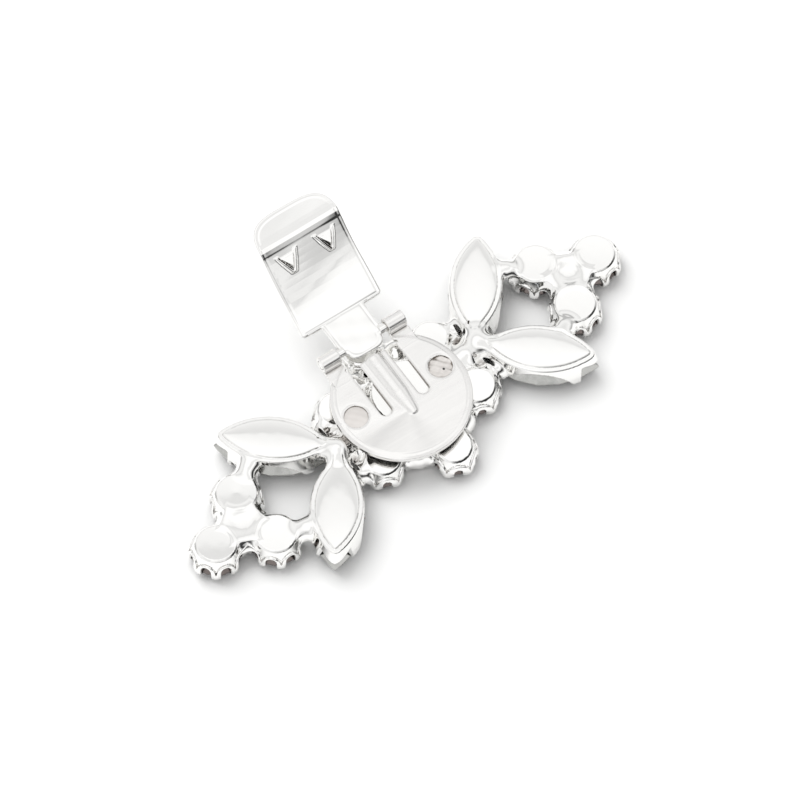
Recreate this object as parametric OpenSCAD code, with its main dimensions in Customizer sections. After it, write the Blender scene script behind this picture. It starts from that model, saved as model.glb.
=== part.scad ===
// Rhinestone shoe buckle with a hinged shoe clip on its back.
// It lies face down: the stone tables are on z = 0, the clip is on top.
// The clip plate is centred on the Z axis, with its hinge along X on the +Y side.

/* [Stones] */
// Length of a marquise stone
marquise_l = 15; // [13:0.5:17]
// Width of a marquise stone
marquise_w = 7; // [6:0.25:8]
// Diameter of the three round stones of each wing
wing_stone_d = 6.2; // [5.4:0.1:7]
// Diameter of the stones round the centre stone
ring_stone_d = 5.4; // [4.6:0.1:6]
// Diameter of the centre stone
centre_stone_d = 10; // [9:0.25:11]
// Height of a round stone's girdle above its table
round_crown_h = 1.1; // [0.9:0.05:1.4]
// Height of a marquise stone's girdle above its table
marquise_crown_h = 1.5; // [1.2:0.05:1.8]
// Height of the centre stone's girdle above its table
centre_crown_h = 1.8; // [1.5:0.05:2.2]
// Height of the straight band round a stone's girdle
girdle_h = 0.25; // [0.15:0.05:0.4]

/* [Cups] */
// Thickness of a cup's wall and back
cup_wall = 0.4; // [0.3:0.05:0.5]
// Room between a stone and its cup
stone_room = 0.06; // [0.03:0.01:0.1]
// Height of a round cup's back above the tables
round_back_z = 4.1; // [3.8:0.1:4.6]
// Height of a marquise cup's back edge above the tables
marquise_back_z = 5.1; // [4.8:0.1:5.4]
// Height of the centre cup's back above the tables
centre_back_z = 5.6; // [5.5:0.1:6.2]
// How far a marquise cup's back bulges above its edge
marquise_bulge = 0.45; // [0.2:0.05:0.6]
// How far a cup's wall draws in from girdle to back
cup_draw = 0.75; // [0.5:0.05:0.9]
// How far the claws reach below the girdle, folded over the stone
claw_reach = 0.4; // [0.25:0.05:0.5]
// Claws round each wing's round cups and the centre cup
claws = 8; // [6:1:9]
// Claws round each cup of the ring
ring_claws = 6; // [5:1:7]
// Width of the gaps between the claws of a round cup
claw_gap = 1.1; // [0.9:0.05:1.3]
// Length of the low stretch in each side of a marquise cup
side_cut_l = 9; // [8:0.5:10]
// Width of the open notch at each tip of a marquise cup
tip_notch = 2.2; // [1.8:0.1:2.6]

/* [Spray] */
// Stones round the centre stone
ring_count = 6; // [6]
// Angle between a marquise stone and the spray's long axis
marquise_angle = 47; // [44:0.5:50]
// Gap between the inner tips of a wing's two marquise stones
tip_gap = 1.3; // [1.2:0.1:1.8]
// Gap between neighbouring cups, which solder fills
solder_gap = 0.45; // [0.3:0.05:0.7]
// Radius of a solder joint between two cups
solder_r = 1.25; // [1.1:0.05:1.5]
// Height of the solder joints above the tables
solder_z = 2.5; // [2.3:0.1:2.7]
// Height of the joints at a marquise cup's low sides
high_solder_z = 3.4; // [3.2:0.1:3.6]
// Radius of the solder at each wing's root
root_solder_r = 2.1; // [1.8:0.05:2.3]
// Turn of the spray under the clip, in degrees
spray_turn = 6.7; // [0:0.1:8]
// Place of the spray's centre along X, from the clip's
spray_x = 1; // [-1:0.1:1]
// Place of the spray's centre along Y, from the clip's
spray_y = 0.3; // [-0.5:0.1:0.5]

/* [Clip plate] */
// Diameter of the clip plate
plate_d = 18; // [17:0.25:19]
// Thickness of the plate's sheet
plate_t = 0.5; // [0.4:0.05:0.6]
// Height of the plate with its turned-down rim
rim_h = 1; // [0.9:0.05:1.3]
// Width of the bevel round the plate's edge
bevel_w = 0.8; // [0.5:0.05:1]
// Depth of the bevel round the plate's edge
bevel_h = 0.35; // [0.2:0.05:0.4]
// Room between the plate and the centre cup's back
plate_room = 0.05; // [0.03:0.01:0.1]
// Diameter of the two sewing holes
sew_hole_d = 2.9; // [2.4:0.1:3.2]
// Distance between the sewing holes
sew_hole_pitch = 12.8; // [12.2:0.1:13]
// Place of the sewing holes along Y
sew_hole_y = 0.7; // [0:0.1:1.2]
// Width of the spring tongue
tongue_w = 4; // [3.6:0.1:4.2]
// Length of the spring tongue between its slots
tongue_l = 7.2; // [6.6:0.1:7.4]
// Width of the slots beside the tongue
slot_w = 1.6; // [1.3:0.05:1.7]
// Height of the stiffening bead along the tongue
bead_h = 0.4; // [0.25:0.05:0.5]
// Width of the stiffening bead
bead_w = 2.2; // [1.8:0.1:2.6]
// Length of the stiffening bead
bead_l = 7.8; // [6.5:0.1:8]
// Length of the stiffening bead past the tongue's root
bead_tail = 2; // [1.5:0.1:2.6]

/* [Hinge] */
// Place of the hinge axis along Y
hinge_y = 8.9; // [8.8:0.05:9.2]
// Height of the hinge axis above the plate
hinge_up = 0.5; // [0.4:0.05:0.7]
// Diameter of the lever's hinge stubs
stub_d = 1.1; // [0.9:0.05:1.2]
// Room round a stub in its ear
stub_room = 0.05; // [0.03:0.01:0.08]
// Thickness of the rolled ears
ear_t = 0.5; // [0.4:0.05:0.6]
// Length of each ear along the hinge
ear_l = 2.6; // [2.2:0.1:2.8]
// Room between the lever's neck and each ear
ear_side_room = 0.5; // [0.3:0.05:0.6]

/* [Lever] */
// Thickness of the lever's sheet
lever_t = 0.7; // [0.5:0.05:0.8]
// Width of the lever's neck
neck_w = 6.3; // [6:0.1:6.6]
// Length of the neck from the hinge axis to the crease
neck_l = 4.5; // [4.2:0.1:5]
// Width of the heel that faces the tongue
heel_w = 3.6; // [3:0.1:3.9]
// Length of the heel from the hinge axis
heel_l = 1.95; // [1.7:0.05:2]
// Room between the heel and the tongue's end
heel_room = 0.35; // [0.3:0.05:0.6]
// Width of the flap
flap_w = 11.9; // [11:0.1:12.5]
// Length of the flap from the crease to its bend
flap_l = 11.5; // [10.5:0.1:12.5]
// Slope of the flap at the crease, in degrees
flap_start = 33; // [30:1:36]
// Slope of the flap at its bend, in degrees
flap_end = 43; // [40:1:45]
// Length of the flared tip
tip_l = 4.2; // [3.6:0.1:4.6]
// Slope of the flared tip, in degrees
tip_slope = 17; // [12:1:24]
// Length of the flap's rounded end
end_l = 4.8; // [4:0.1:5.6]
// Distance of the teeth from the crease
tooth_place = 9.4; // [8.8:0.1:9.8]
// Distance between the two teeth
tooth_pitch = 5.7; // [5:0.1:6.2]
// Width of a tooth
tooth_w = 2.4; // [2:0.1:2.6]
// Length of a tooth
tooth_l = 2.5; // [2:0.1:2.8]
// Height of a tooth above the flap
tooth_h = 1.1; // [0.8:0.05:1.3]

/* [Hidden] */
$fn = 48;

silver = [0.86, 0.86, 0.87];
bright = [0.93, 0.93, 0.94];
crystal = [0.55, 0.56, 0.6, 0.7];

// Outer radii of the cups at the girdle
cup_skin = stone_room + cup_wall;
wing_cup_r = wing_stone_d / 2 + cup_skin;
ring_cup_r = ring_stone_d / 2 + cup_skin;
centre_cup_r = centre_stone_d / 2 + cup_skin;
ring_r = centre_cup_r + ring_cup_r + solder_gap;

// A marquise outline is where two circles of this radius overlap
arc_r = (pow(marquise_l / 2, 2) + pow(marquise_w / 2, 2)) / marquise_w;
arc_off = arc_r - marquise_w / 2;
cup_arc_r = arc_r + cup_skin;

// Each wing's marquise cups touch the ring's cups and its round cups through solder
first_ring = [ring_r * cos(180 / ring_count), ring_r * sin(180 / ring_count)];
marquise_y = tip_gap / 2 + marquise_l / 2 * sin(marquise_angle);
near_arc_y = marquise_y - arc_off * cos(marquise_angle);
marquise_x = first_ring[0] - arc_off * sin(marquise_angle)
    + sqrt(pow(cup_arc_r + ring_cup_r + solder_gap, 2) - pow(first_ring[1] - near_arc_y, 2));
root_x = marquise_x - marquise_l / 2 * cos(marquise_angle);
pair_y = wing_cup_r + solder_gap / 2;
far_arc = [marquise_x - arc_off * sin(marquise_angle), marquise_y + arc_off * cos(marquise_angle)];
pair_x = far_arc[0]
    + sqrt(pow(cup_arc_r + wing_cup_r + solder_gap, 2) - pow(pair_y - far_arc[1], 2));
outer_x = pair_x + sqrt(pow(2 * wing_cup_r + solder_gap, 2) - pow(pair_y, 2));
wing_places = [[outer_x, 0], [pair_x, pair_y], [pair_x, -pair_y]];

// Heights of the clip
plate_under_z = centre_back_z + plate_room;
plate_z = plate_under_z + plate_t;
plate_r = plate_d / 2;
hinge_z = plate_z + hinge_up;
tongue_end = hinge_y - heel_l - heel_room;
tongue_root = tongue_end - tongue_l;
ear_in = neck_w / 2 + ear_side_room;
ear_bore_r = stub_d / 2 + stub_room;
ear_r = ear_bore_r + ear_t;

// Middle line of the lever's flap from the crease: an arc, then the flared tip
flap_steps = 6;
tip_steps = 3;
flap_step = flap_l / flap_steps;
tip_step = tip_l / tip_steps;
function flap_slope(i) = flap_start + (flap_end - flap_start) * (i + 0.5) / flap_steps;
function flap_line(i) = i == 0 ? [neck_l, 0]
    : flap_line(i - 1) + flap_step * [cos(flap_slope(i - 1)), sin(flap_slope(i - 1))];
function tip_bend(i) = flap_end + (tip_slope - flap_end) * min(1, (i + 1) / 2);
function tip_line(i) = i == 0 ? flap_line(flap_steps)
    : tip_line(i - 1) + tip_step * [cos(tip_bend(i - 1)), sin(tip_bend(i - 1))];
flap_points = [for (i = [0 : flap_steps]) flap_line(i)];
tip_points = [for (i = [1 : tip_steps + 1]) tip_line(i)];
sheet_line = concat([[-2 * heel_l, 0]], flap_points, tip_points);
flap_reach = tip_line(tip_steps)[0];

// Normal of the sheet's middle line at a point, from its two neighbours
function line_normal(line, i) =
    let (a = line[max(0, i - 1)], b = line[min(len(line) - 1, i + 1)], d = (b - a) / norm(b - a))
    [-d[1], d[0]];
function sheet_outline(line, t) = concat(
    [for (i = [0 : len(line) - 1]) line[i] + line_normal(line, i) * t / 2],
    [for (i = [len(line) - 1 : -1 : 0]) line[i] - line_normal(line, i) * t / 2]);

// Point of a stone's outline: size is [half length, half width], k its share, a its angle
function gem_point(size, k, a, z) =
    let (r = (pow(size[0], 2) + pow(size[1], 2)) / (2 * size[1]), x = size[0] * cos(a),
        y = sqrt(max(0, r * r - x * x)) - (r - size[1]))
    [k * x, k * (sin(a) < 0 ? -y : y), z];

// Brilliant cut, table down on z = 0: table, stars, kites, girdle, pavilion mains and culet
table_share = 0.58;
star_share = 0.8;
star_height = 0.42;
lower_share = 0.3;
lower_height = 0.72;
module gem(size, crown, depth) {
    step = 45;
    half = step / 2;
    top = crown + girdle_h;
    points = concat(
        [for (i = [0 : 7]) gem_point(size, table_share, step * i, 0)],
        [for (i = [0 : 7]) gem_point(size, star_share, step * i + half, crown * star_height)],
        [for (i = [0 : 15]) gem_point(size, 1, half * i, crown)],
        [for (i = [0 : 15]) gem_point(size, 1, half * i, top)],
        [for (i = [0 : 7]) gem_point(size, lower_share, step * i, top + (depth - top) * lower_height)],
        [[0, 0, depth]]);
    star = 8;
    low = 16;
    high = 32;
    lower = 48;
    culet = 56;
    faces = concat(
        [[for (i = [0 : 7]) i]],
        [for (i = [0 : 7]) [i, star + i, (i + 1) % 8]],
        [for (i = [0 : 7]) [star + i, low + (2 * i + 2) % 16, star + (i + 1) % 8]],
        [for (i = [0 : 7]) [star + i, star + (i + 1) % 8, (i + 1) % 8]],
        [for (i = [0 : 7]) [star + i, low + 2 * i, low + 2 * i + 1]],
        [for (i = [0 : 7]) [star + i, low + 2 * i + 1, low + (2 * i + 2) % 16]],
        [for (i = [0 : 15]) [low + i, high + i, low + (i + 1) % 16]],
        [for (i = [0 : 15]) [low + (i + 1) % 16, high + i, high + (i + 1) % 16]],
        [for (i = [0 : 7]) [high + 2 * i, lower + i, high + 2 * i + 1]],
        [for (i = [0 : 7]) [high + 2 * i + 1, lower + i, lower + (i + 1) % 8]],
        [for (i = [0 : 7]) [high + 2 * i + 1, lower + (i + 1) % 8, high + (2 * i + 2) % 16]],
        [for (i = [0 : 7]) [lower + i, culet, lower + (i + 1) % 8]]);
    color(crystal) polyhedron(points = points, faces = faces);
}

function stone_depth(back_z) = back_z - cup_wall - 2 * stone_room;

module round_gem(d, crown, back_z) gem([d / 2, d / 2], crown, stone_depth(back_z));
module marquise_gem() gem([marquise_l / 2, marquise_w / 2], marquise_crown_h, stone_depth(marquise_back_z));

// Share of a cup's draw that its back edge keeps
edge_share = 0.6;

// Half section of a cup, revolved: r is its radius at the girdle, and skin is added outside it
function cup_section(r, skin, crown, back_z, low_z) = [
    [0, low_z], [r - cup_draw + skin, low_z], [r + skin, crown], [r + skin, crown + girdle_h],
    [r - cup_draw * edge_share + skin, back_z - cup_wall], [r - cup_draw + skin, back_z], [0, back_z]];
function pocket_section(r, crown, back_z) = [
    [0, -crown], [r * star_share, -crown], [r * star_share, crown * star_height - stone_room],
    [r + stone_room, crown - stone_room], [r + stone_room, crown + girdle_h + stone_room],
    [r - cup_draw, back_z - cup_wall], [0, back_z - cup_wall]];

module round_cup_body(d, crown, back_z)
    rotate_extrude() polygon(cup_section(d / 2, cup_skin, crown, back_z, crown - claw_reach));

module round_cup_cuts(d, crown, back_z, n) {
    rotate_extrude() polygon(pocket_section(d / 2, crown, back_z));
    for (i = [0 : n - 1])
        rotate([0, 0, 360 / n * (i + 0.5)])
            translate([d / 3, 0, crown]) rotate([0, 90, 0]) cylinder(d = claw_gap, h = d / 3);
}

// A solid with the marquise outline: two equal turned solids, each off centre, where they overlap
module marquise_turned(section)
    intersection() {
        translate([0, arc_off, 0]) rotate_extrude() polygon(section);
        translate([0, -arc_off, 0]) rotate_extrude() polygon(section);
    }

bulge_r = (pow(marquise_w / 2 - cup_draw, 2) + pow(marquise_bulge, 2)) / (2 * marquise_bulge);
module marquise_cup_body()
    intersection() {
        marquise_turned(cup_section(arc_r, cup_skin, marquise_crown_h, marquise_back_z + marquise_bulge,
            marquise_crown_h - claw_reach));
        translate([0, 0, marquise_back_z + marquise_bulge - bulge_r]) rotate([0, 90, 0])
            cylinder(r = bulge_r, h = 2 * marquise_l, center = true);
    }

// Low stretch of wall along each side, and an open notch at each tip, leave four claws
cup_tip = sqrt(pow(cup_arc_r, 2) - pow(arc_off, 2));
notch_in = marquise_l * 0.37;
side_rise = marquise_back_z - marquise_crown_h - 2 * cup_wall;
side_r = (pow(side_cut_l / 2, 2) + pow(side_rise, 2)) / (2 * side_rise);
module marquise_cup_cuts() {
    marquise_turned(pocket_section(arc_r, marquise_crown_h, marquise_back_z));
    intersection() {
        marquise_turned([[0, 0], [cup_arc_r + solder_gap / 2, 0],
            [cup_arc_r + solder_gap / 2, marquise_back_z], [0, marquise_back_z]]);
        translate([0, 0, marquise_crown_h + side_rise - side_r]) rotate([90, 0, 0])
            cylinder(r = side_r, h = 2 * marquise_w, center = true);
    }
    for (side = [-90, 90])
        translate([0, 0, marquise_crown_h + girdle_h]) rotate([0, side, 0])
            translate([0, 0, notch_in]) cylinder(d = tip_notch, h = cup_tip - notch_in);
}

module on_ring(i) rotate([0, 0, 360 / ring_count * (i + 0.5)]) translate([ring_r, 0, 0]) children();
module on_marquise(side, up)
    translate([side * marquise_x, up * marquise_y, 0])
        rotate([0, 0, side * up * marquise_angle]) children();
module spray() translate([spray_x, spray_y, 0]) rotate([0, 0, spray_turn]) children();

// Blob of solder, turned from bands that follow a ball
module blob(r)
    rotate_extrude() polygon(concat([[0, -r * sin(70)]],
        [for (a = [-70 : 35 : 70]) r * [cos(a), sin(a)]], [[0, r * sin(70)]]));

// Solder between the round parts of two cups, whose centres and radii at the girdle are given
module joint(a, b, ra, rb, z)
    translate(concat(a + (b - a) * (ra + solder_gap / 2) / (ra + solder_gap + rb), [z]))
        blob(solder_r);

// Centre cup and the ring of cups round it
module middle_cups() {
    round_cup_body(centre_stone_d, centre_crown_h, centre_back_z);
    for (i = [0 : ring_count - 1]) {
        on_ring(i) round_cup_body(ring_stone_d, round_crown_h, round_back_z);
        rotate([0, 0, 360 / ring_count * (i + 0.5)])
            joint([0, 0], [ring_r, 0], centre_cup_r, ring_cup_r, solder_z);
    }
}

// One wing's cups: two marquise cups, and three round cups past them
module wing_cups(side) {
    outer = [side * outer_x, 0];
    for (p = wing_places)
        translate([side * p[0], p[1], 0]) round_cup_body(wing_stone_d, round_crown_h, round_back_z);
    joint([side * pair_x, pair_y], [side * pair_x, -pair_y], wing_cup_r, wing_cup_r, solder_z);
    for (up = [-1, 1]) {
        pair = [side * pair_x, up * pair_y];
        on_marquise(side, up) marquise_cup_body();
        joint(pair, outer, wing_cup_r, wing_cup_r, solder_z);
        joint([side * far_arc[0], up * far_arc[1]], pair, cup_arc_r, wing_cup_r, high_solder_z);
    }
}

// Solder that holds a wing to the middle: a large blob at its root, and a joint beside each marquise
module wing_solder(side) {
    translate([side * root_x, 0, solder_z + solder_gap]) blob(root_solder_r);
    for (up = [-1, 1])
        joint([side * (marquise_x + arc_off * sin(marquise_angle)), up * near_arc_y],
            [side * first_ring[0], up * first_ring[1]], cup_arc_r, ring_cup_r, solder_z);
}

module cup_cuts() {
    round_cup_cuts(centre_stone_d, centre_crown_h, centre_back_z, claws);
    for (i = [0 : ring_count - 1])
        on_ring(i) round_cup_cuts(ring_stone_d, round_crown_h, round_back_z, ring_claws);
    for (side = [-1, 1]) {
        for (p = wing_places)
            translate([side * p[0], p[1], 0])
                round_cup_cuts(wing_stone_d, round_crown_h, round_back_z, claws);
        for (up = [-1, 1]) on_marquise(side, up) marquise_cup_cuts();
    }
}

module stone_frame()
    color(silver) spray() difference() {
        union() {
            union() middle_cups();
            for (side = [-1, 1]) {
                union() wing_cups(side);
                wing_solder(side);
            }
        }
        cup_cuts();
    }

module centre_stone() spray() round_gem(centre_stone_d, centre_crown_h, centre_back_z);
module ring_stone(i) spray() on_ring(i) round_gem(ring_stone_d, round_crown_h, round_back_z);
module marquise_stone(side, up) spray() on_marquise(side, up) marquise_gem();
module wing_stone(side, i)
    spray() translate([side * wing_places[i][0], wing_places[i][1], 0])
        round_gem(wing_stone_d, round_crown_h, round_back_z);

// Round sheet with a bevelled edge and a turned-down rim
module plate_shell()
    rotate_extrude() polygon([
        [0, plate_z], [plate_r - bevel_w, plate_z], [plate_r, plate_z - bevel_h],
        [plate_r, plate_z - rim_h], [plate_r - plate_t, plate_z - rim_h],
        [plate_r - plate_t, plate_z - bevel_h - plate_t / 2],
        [plate_r - bevel_w - plate_t / 2, plate_under_z], [0, plate_under_z]]);

// Half-round bead along Y with a rounded end, standing on the level of z = 0
bead_r = (pow(bead_w / 2, 2) + pow(bead_h, 2)) / (2 * bead_h);
module bead()
    intersection() {
        translate([0, 0, bead_h - bead_r]) {
            rotate([-90, 0, 0]) cylinder(r = bead_r, h = bead_l);
            sphere(r = bead_r);
        }
        translate([-bead_w / 2, -bead_w / 2, -plate_t / 2])
            cube([bead_w, bead_l + bead_w / 2, plate_t / 2 + bead_h]);
    }

module ear()
    difference() {
        union() {
            translate([ear_in, hinge_y, hinge_z]) rotate([0, 90, 0]) cylinder(r = ear_r, h = ear_l);
            translate([ear_in, tongue_end - ear_r, hinge_z - ear_r])
                cube([ear_l, hinge_y - tongue_end + ear_r, ear_t]);
        }
        translate([ear_in - ear_t, hinge_y, hinge_z]) rotate([0, 90, 0])
            cylinder(r = ear_bore_r, h = ear_l + 2 * ear_t);
    }

module clip_plate()
    color(silver) {
        difference() {
            plate_shell();
            for (side = [-1, 1]) {
                translate([side * sew_hole_pitch / 2, sew_hole_y, plate_z - rim_h])
                    cylinder(d = sew_hole_d, h = 2 * rim_h);
                translate([side * (tongue_w + slot_w) / 2, tongue_root, plate_z - rim_h])
                    cylinder(d = slot_w, h = 2 * rim_h);
                translate([side * (tongue_w + slot_w) / 2 - slot_w / 2, tongue_root, plate_z - rim_h])
                    cube([slot_w, tongue_l + ear_r, 2 * rim_h]);
            }
            translate([-ear_in, tongue_end, plate_z - 2 * rim_h]) cube([2 * ear_in, plate_r, 4 * rim_h]);
        }
        translate([0, tongue_root - bead_tail, plate_z]) bead();
        for (side = [0, 1]) mirror([side, 0, 0]) ear();
    }

// Outline of the flap from above: straight sides and a rounded end, by a superellipse
end_power = 0.62;
module flap_plan()
    polygon(concat(
        [[-flap_w / 2, neck_l - lever_t / 2], [flap_w / 2, neck_l - lever_t / 2]],
        [for (a = [0 : 9 : 180])
            [flap_w / 2 * sign(cos(a)) * pow(abs(cos(a)), end_power),
                flap_reach - end_l + end_l * pow(sin(a), end_power)]]));

// Sheet of the lever, as wide as asked, its hinge axis on X through the origin
module lever_sheet(w)
    translate([-w / 2, 0, 0]) rotate([90, 0, 90])
        linear_extrude(w) polygon(sheet_outline(sheet_line, lever_t));

// A tooth pierced up from the flap: a leaning wedge that points back to the crease
tooth_at = tooth_place / flap_step;
tooth_seg = floor(tooth_at);
tooth_mid = flap_line(tooth_seg)
    + (tooth_at - tooth_seg) * (flap_line(tooth_seg + 1) - flap_line(tooth_seg));
tooth_tip = -tooth_l / 6;
module tooth()
    translate([0, tooth_mid[0], tooth_mid[1]]) rotate([flap_slope(tooth_seg), 0, 0])
        polyhedron(
            points = [[-tooth_w / 2, tooth_l / 2, 0], [tooth_w / 2, tooth_l / 2, 0], [0, -tooth_l / 2, 0],
                [0, tooth_tip, lever_t / 2 + tooth_h]],
            faces = [[2, 1, 0], [1, 3, 0], [2, 3, 1], [0, 3, 2]]);

module clip_lever()
    color(bright) translate([0, hinge_y, hinge_z]) {
        intersection() {
            lever_sheet(flap_w);
            linear_extrude(4 * flap_l, center = true) union() {
                flap_plan();
                translate([-neck_w / 2, -stub_d / 2]) square([neck_w, neck_l + stub_d / 2]);
                translate([-heel_w / 2, -heel_l]) square([heel_w, neck_l]);
            }
        }
        translate([-ear_in - ear_l, 0, 0]) rotate([0, 90, 0]) cylinder(d = stub_d, h = 2 * (ear_in + ear_l));
        for (side = [-1, 1]) translate([side * tooth_pitch / 2, 0, 0]) tooth();
    }

stone_frame();
clip_plate();
clip_lever();
centre_stone();
ring_stone(0);  // ring_stone_1
ring_stone(1);  // ring_stone_2
ring_stone(2);  // ring_stone_3
ring_stone(3);  // ring_stone_4
ring_stone(4);  // ring_stone_5
ring_stone(5);  // ring_stone_6
marquise_stone(1, 1);  // right_marquise_back
marquise_stone(1, -1);  // right_marquise_front
marquise_stone(-1, 1);  // left_marquise_back
marquise_stone(-1, -1);  // left_marquise_front
wing_stone(1, 0);  // right_stone_outer
wing_stone(1, 1);  // right_stone_back
wing_stone(1, 2);  // right_stone_front
wing_stone(-1, 0);  // left_stone_outer
wing_stone(-1, 1);  // left_stone_back
wing_stone(-1, 2);  // left_stone_front
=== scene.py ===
"""A rhinestone shoe buckle with a hinged clip on its back, lying face down on its stones.

The metal is modelled as signed distance fields in millimetres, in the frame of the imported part. A surface
net turns the fields into meshes. The cups, the solder, the plate and the lever follow the solids.
"""
import math

import bpy
import numpy as np
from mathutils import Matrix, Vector


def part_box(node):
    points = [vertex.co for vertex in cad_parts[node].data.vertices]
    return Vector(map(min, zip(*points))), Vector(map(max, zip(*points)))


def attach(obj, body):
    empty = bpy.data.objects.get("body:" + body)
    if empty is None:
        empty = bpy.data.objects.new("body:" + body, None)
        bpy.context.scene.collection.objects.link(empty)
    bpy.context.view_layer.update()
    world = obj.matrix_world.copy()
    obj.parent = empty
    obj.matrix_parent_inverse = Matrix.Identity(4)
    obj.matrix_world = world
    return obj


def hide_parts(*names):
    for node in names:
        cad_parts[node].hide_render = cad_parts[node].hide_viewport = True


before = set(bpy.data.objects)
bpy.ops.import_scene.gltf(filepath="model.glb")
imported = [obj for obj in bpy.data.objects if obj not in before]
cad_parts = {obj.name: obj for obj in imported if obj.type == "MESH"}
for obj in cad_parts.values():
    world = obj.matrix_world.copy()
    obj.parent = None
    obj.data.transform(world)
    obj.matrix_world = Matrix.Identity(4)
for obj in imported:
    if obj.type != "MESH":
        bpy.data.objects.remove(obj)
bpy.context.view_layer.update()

MM = 0.001
# What the field of the cups holds where no cup is near
FAR = 2.0
COARSE = 1.0
deg = math.radians

# The camera stands over the near side: its turn about the vertical and its rise above the floor
VIEW_TURN = deg(34.3)
VIEW_RISE = deg(62.1)

# Sizes in millimetres, most of them those of the solids
SPRAY_TURN = deg(6.7)
MARQUISE_ANGLE = deg(47)
MARQUISE_HALF_L = 7.5
MARQUISE_HALF_W = 3.5
# The sides of a marquise lie on two circles: their radius, and how far their centres are off its axis
MARQUISE_ARC_R = (MARQUISE_HALF_L ** 2 + MARQUISE_HALF_W ** 2) / (2 * MARQUISE_HALF_W)
MARQUISE_ARC_OFF = MARQUISE_ARC_R - MARQUISE_HALF_W
MARQUISE_CROWN = 1.5
MARQUISE_BACK = 5.1
WING_R = 3.1
RING_R = 2.7
CENTRE_R = 5.0
ROUND_CROWN = 1.1
CENTRE_CROWN = 1.8
ROUND_BACK = 4.1
CENTRE_BACK = 5.6
GIRDLE_H = 0.25
STONE_ROOM = 0.06
SKIN = 0.46

# Solder: gap between cups, radii and heights of the blobs
SOLDER_GAP = 0.45
SOLDER_R = 1.25
HIGH_SOLDER_R = 1.45
CENTRE_SOLDER_R = 1.35
SOLDER_Z = 2.6
HIGH_SOLDER_Z = 3.4
ROOT_SOLDER_R = 2.1
ROOT_RISE = 0.4
ROOT_X = 11.74
# Blobs in the six gaps of the ring: way out from the middle and radius, on the long axis and elsewhere
AXIS_GAP_BLOB = (8.8, 2.15)
SIDE_GAP_BLOB = (7.1, 2.0)
GAP_BLOB_DROP = 0.5

# The pieces of the setting meet here on the spray's long axis, and their skins pass each other
SEAM_X = 11.3
SEAM_LAP = 0.5
SEAM_SINK = 0.05

# The clip's plate, with its rim, sewing holes, tongue between two slots, ears, and the stubs in them
PLATE_R = 9.0
PLATE_T = 0.5
PLATE_TOP = 6.15
PLATE_UNDER = PLATE_TOP - PLATE_T
RIM_H = 1.0
SEW_X = 6.4
SEW_Y = 0.7
SEW_R = 1.45
TONGUE_HALF_W = 2.0
SLOT_W = 1.6
TONGUE_END = 6.6
TONGUE_ROOT = -0.6
HINGE_Y = 8.9
HINGE_Z = 6.65
EAR_IN = 3.65
EAR_L = 2.6
STUB_R = 0.55
STUB_HALF_L = 1.8
STUB_MID = EAR_IN + EAR_L - STUB_HALF_L

# The lever: lengths run along its sheet from the hinge, and slopes are in degrees
LEVER_T = 0.62
NECK_HALF_W = 3.15
NECK_L = 4.5
NECK_MID = 2.2
NECK_HALF_L = 2.75
HEEL_HALF_W = 2.6
HEEL_L = 1.95
HEEL_ROUNDING = 1.6
FLAP_HALF_W = 6.0
FLAP_L = 11.1
FLAP_START = 33
FLAP_END = 42
FLAP_STEPS = 12
# The flap's outline begins this far before the bend, and its corners are cut by this width and length
FLAP_LAP = 0.25
FLAP_CORNER = 0.3
FLAP_CORNER_L = 0.35
CURL_L = 0.35
CURL_SLOPE = 3.3
CURL_STEPS = 5
TIP_L = 4.5
TIP_BEND = 2.2
TIP_SLOPE = 17
TIP_STEPS = 9
END_L = 5.3
END_POWER = 0.58
# The fine line pressed into the flap along its edge
LINE_DEPTH = 0.03
LINE_IN = 0.5
LINE_W = 0.16
TOOTH_S = NECK_L + 9.4
TOOTH_PITCH = 5.7
TOOTH_W = 2.5
TOOTH_L = 2.7
TOOTH_H = 1.15
# A tooth's front is the slope on the hinge's side: the share of half its length in which it reaches its
# full height, and how its sides draw in
TOOTH_PEAK = 0.66
TOOTH_DRAW = 0.32
# These bring the steepness of its two slopes near that of a distance
FRONT_SCALE = 0.6
BACK_SCALE = 0.75
# The raised rim round a tooth, and the slit that shows beside it
COLLAR_OUT = 0.16
COLLAR_R = 0.24
COLLAR_THINNING = 0.1
COLLAR_SHIFT = 0.1
SLIT_OUT = 0.03
SLIT_HALF_W = 0.09
SLIT_SHARE = 0.9
# Unevenness: long waves, small bumps and the stronger ones of the neck
LEVER_WAVES = 0.035
SHEET_BUMPS = 0.006
NECK_BUMPS = 0.022


# Distance fields: arrays of points go in, and distances in millimetres come out, negative inside

def ease(t):
    """Rises from 0 to 1 with level ends while t does."""
    return t * t * (3 - 2 * t)


def turned(x, y, angle):
    """A place in axes that are turned by angle."""
    c, s = math.cos(angle), math.sin(angle)
    return x * c + y * s, y * c - x * s


def smooth_min(a, b, k):
    h = np.clip(k - np.abs(a - b), 0, None) / k
    return np.minimum(a, b) - h * h * k / 4


def smooth_max(a, b, k):
    return -smooth_min(-a, -b, k)


def inset(corners, amount):
    """The corners of an outline, moved inwards by amount, or a sharp one by up to 3.2 times that."""
    pts = np.array(corners, float)
    area = sum(a[0] * b[1] - b[0] * a[1] for a, b in zip(pts, np.roll(pts, -1, 0)))
    side = 1 if area > 0 else -1
    moved = []
    for before, here, after in zip(np.roll(pts, 1, 0), pts, np.roll(pts, -1, 0)):
        d1 = (here - before) / np.linalg.norm(here - before)
        d2 = (after - here) / np.linalg.norm(after - here)
        n1 = side * np.array([-d1[1], d1[0]])
        n2 = side * np.array([-d2[1], d2[0]])
        both = n1 + n2
        moved.append(here + both * amount * 2 / max(both @ both, 0.4))
    return [tuple(p) for p in moved]


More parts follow.
